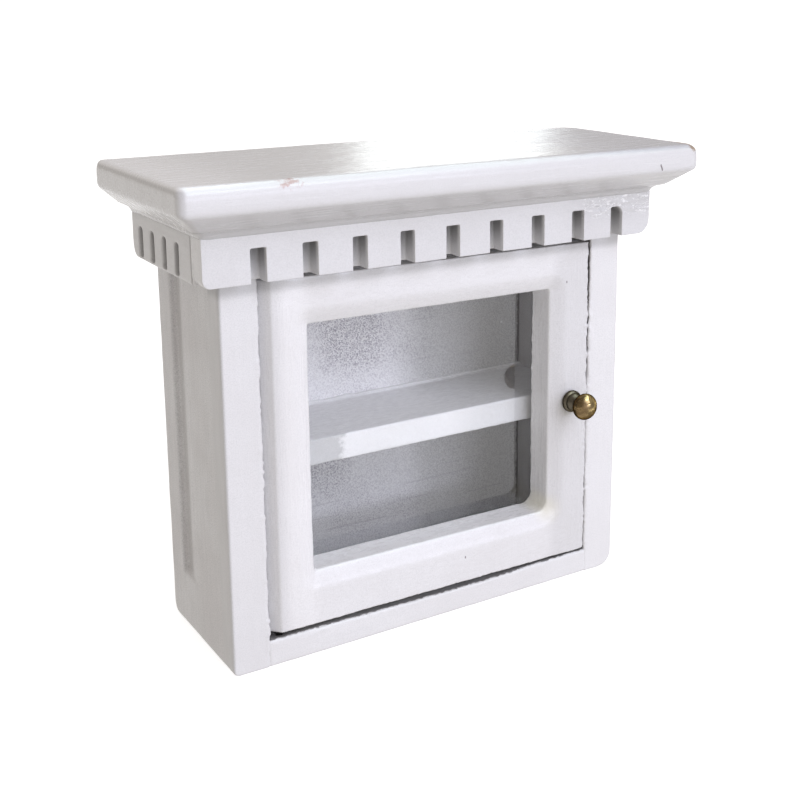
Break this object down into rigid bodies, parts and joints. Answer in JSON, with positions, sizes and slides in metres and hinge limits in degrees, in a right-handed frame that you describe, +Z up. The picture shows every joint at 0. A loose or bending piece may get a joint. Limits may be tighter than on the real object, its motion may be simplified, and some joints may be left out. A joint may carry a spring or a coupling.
{
  "type": "miniature wall cupboard",
  "caption": "Dolls' house wall cupboard with a moulded cornice, a toothed frieze, a shelf inside and a glazed door that swings out on pins at its left edge.",
  "frame": {"origin": "middle of the whole cupboard's width and depth, on the plane of its underside", "axes": "+X to the right as the door is faced, +Y from the door to the back, +Z up"},
  "size_m": [0.0738, 0.0288, 0.063],
  "materials": {
    "white_paint": "brushed satin white paint over wood",
    "inner_paint": "thin rough white paint over wood",
    "clear_pane": "clear glossy sheet",
    "antique_brass": "darkened, polished on the high spots",
    "pin_steel": "plain wire"
  },
  "bodies": {
    "cabinet": {"cornice_board": "white_paint", "frieze_front": "white_paint", "frieze_left": "white_paint", "frieze_right": "white_paint", "side_left": "white_paint", "side_right": "white_paint", "face_stile_left": "white_paint", "face_stile_right": "white_paint", "face_rail_top": "white_paint", "bottom_board": "inner_paint", "top_board": "inner_paint", "shelf": "inner_paint", "back_panel": "inner_paint", "hinge_pin_top": "pin_steel", "hinge_pin_bottom": "pin_steel"},
    "door": {"door_stile_hinge": "white_paint", "door_stile_knob": "white_paint", "door_rail_top": "white_paint", "door_rail_bottom": "white_paint", "door_pane": "clear_pane", "knob": "antique_brass"}
  },
  "joints": [
    {"name": "door_hinge", "type": "hinge", "parent": "cabinet", "child": "door", "pos_m": [-0.02305, -0.00475, 0.00395], "axis": [0, 0, -1], "range_deg": [0, 95]}
  ]
}
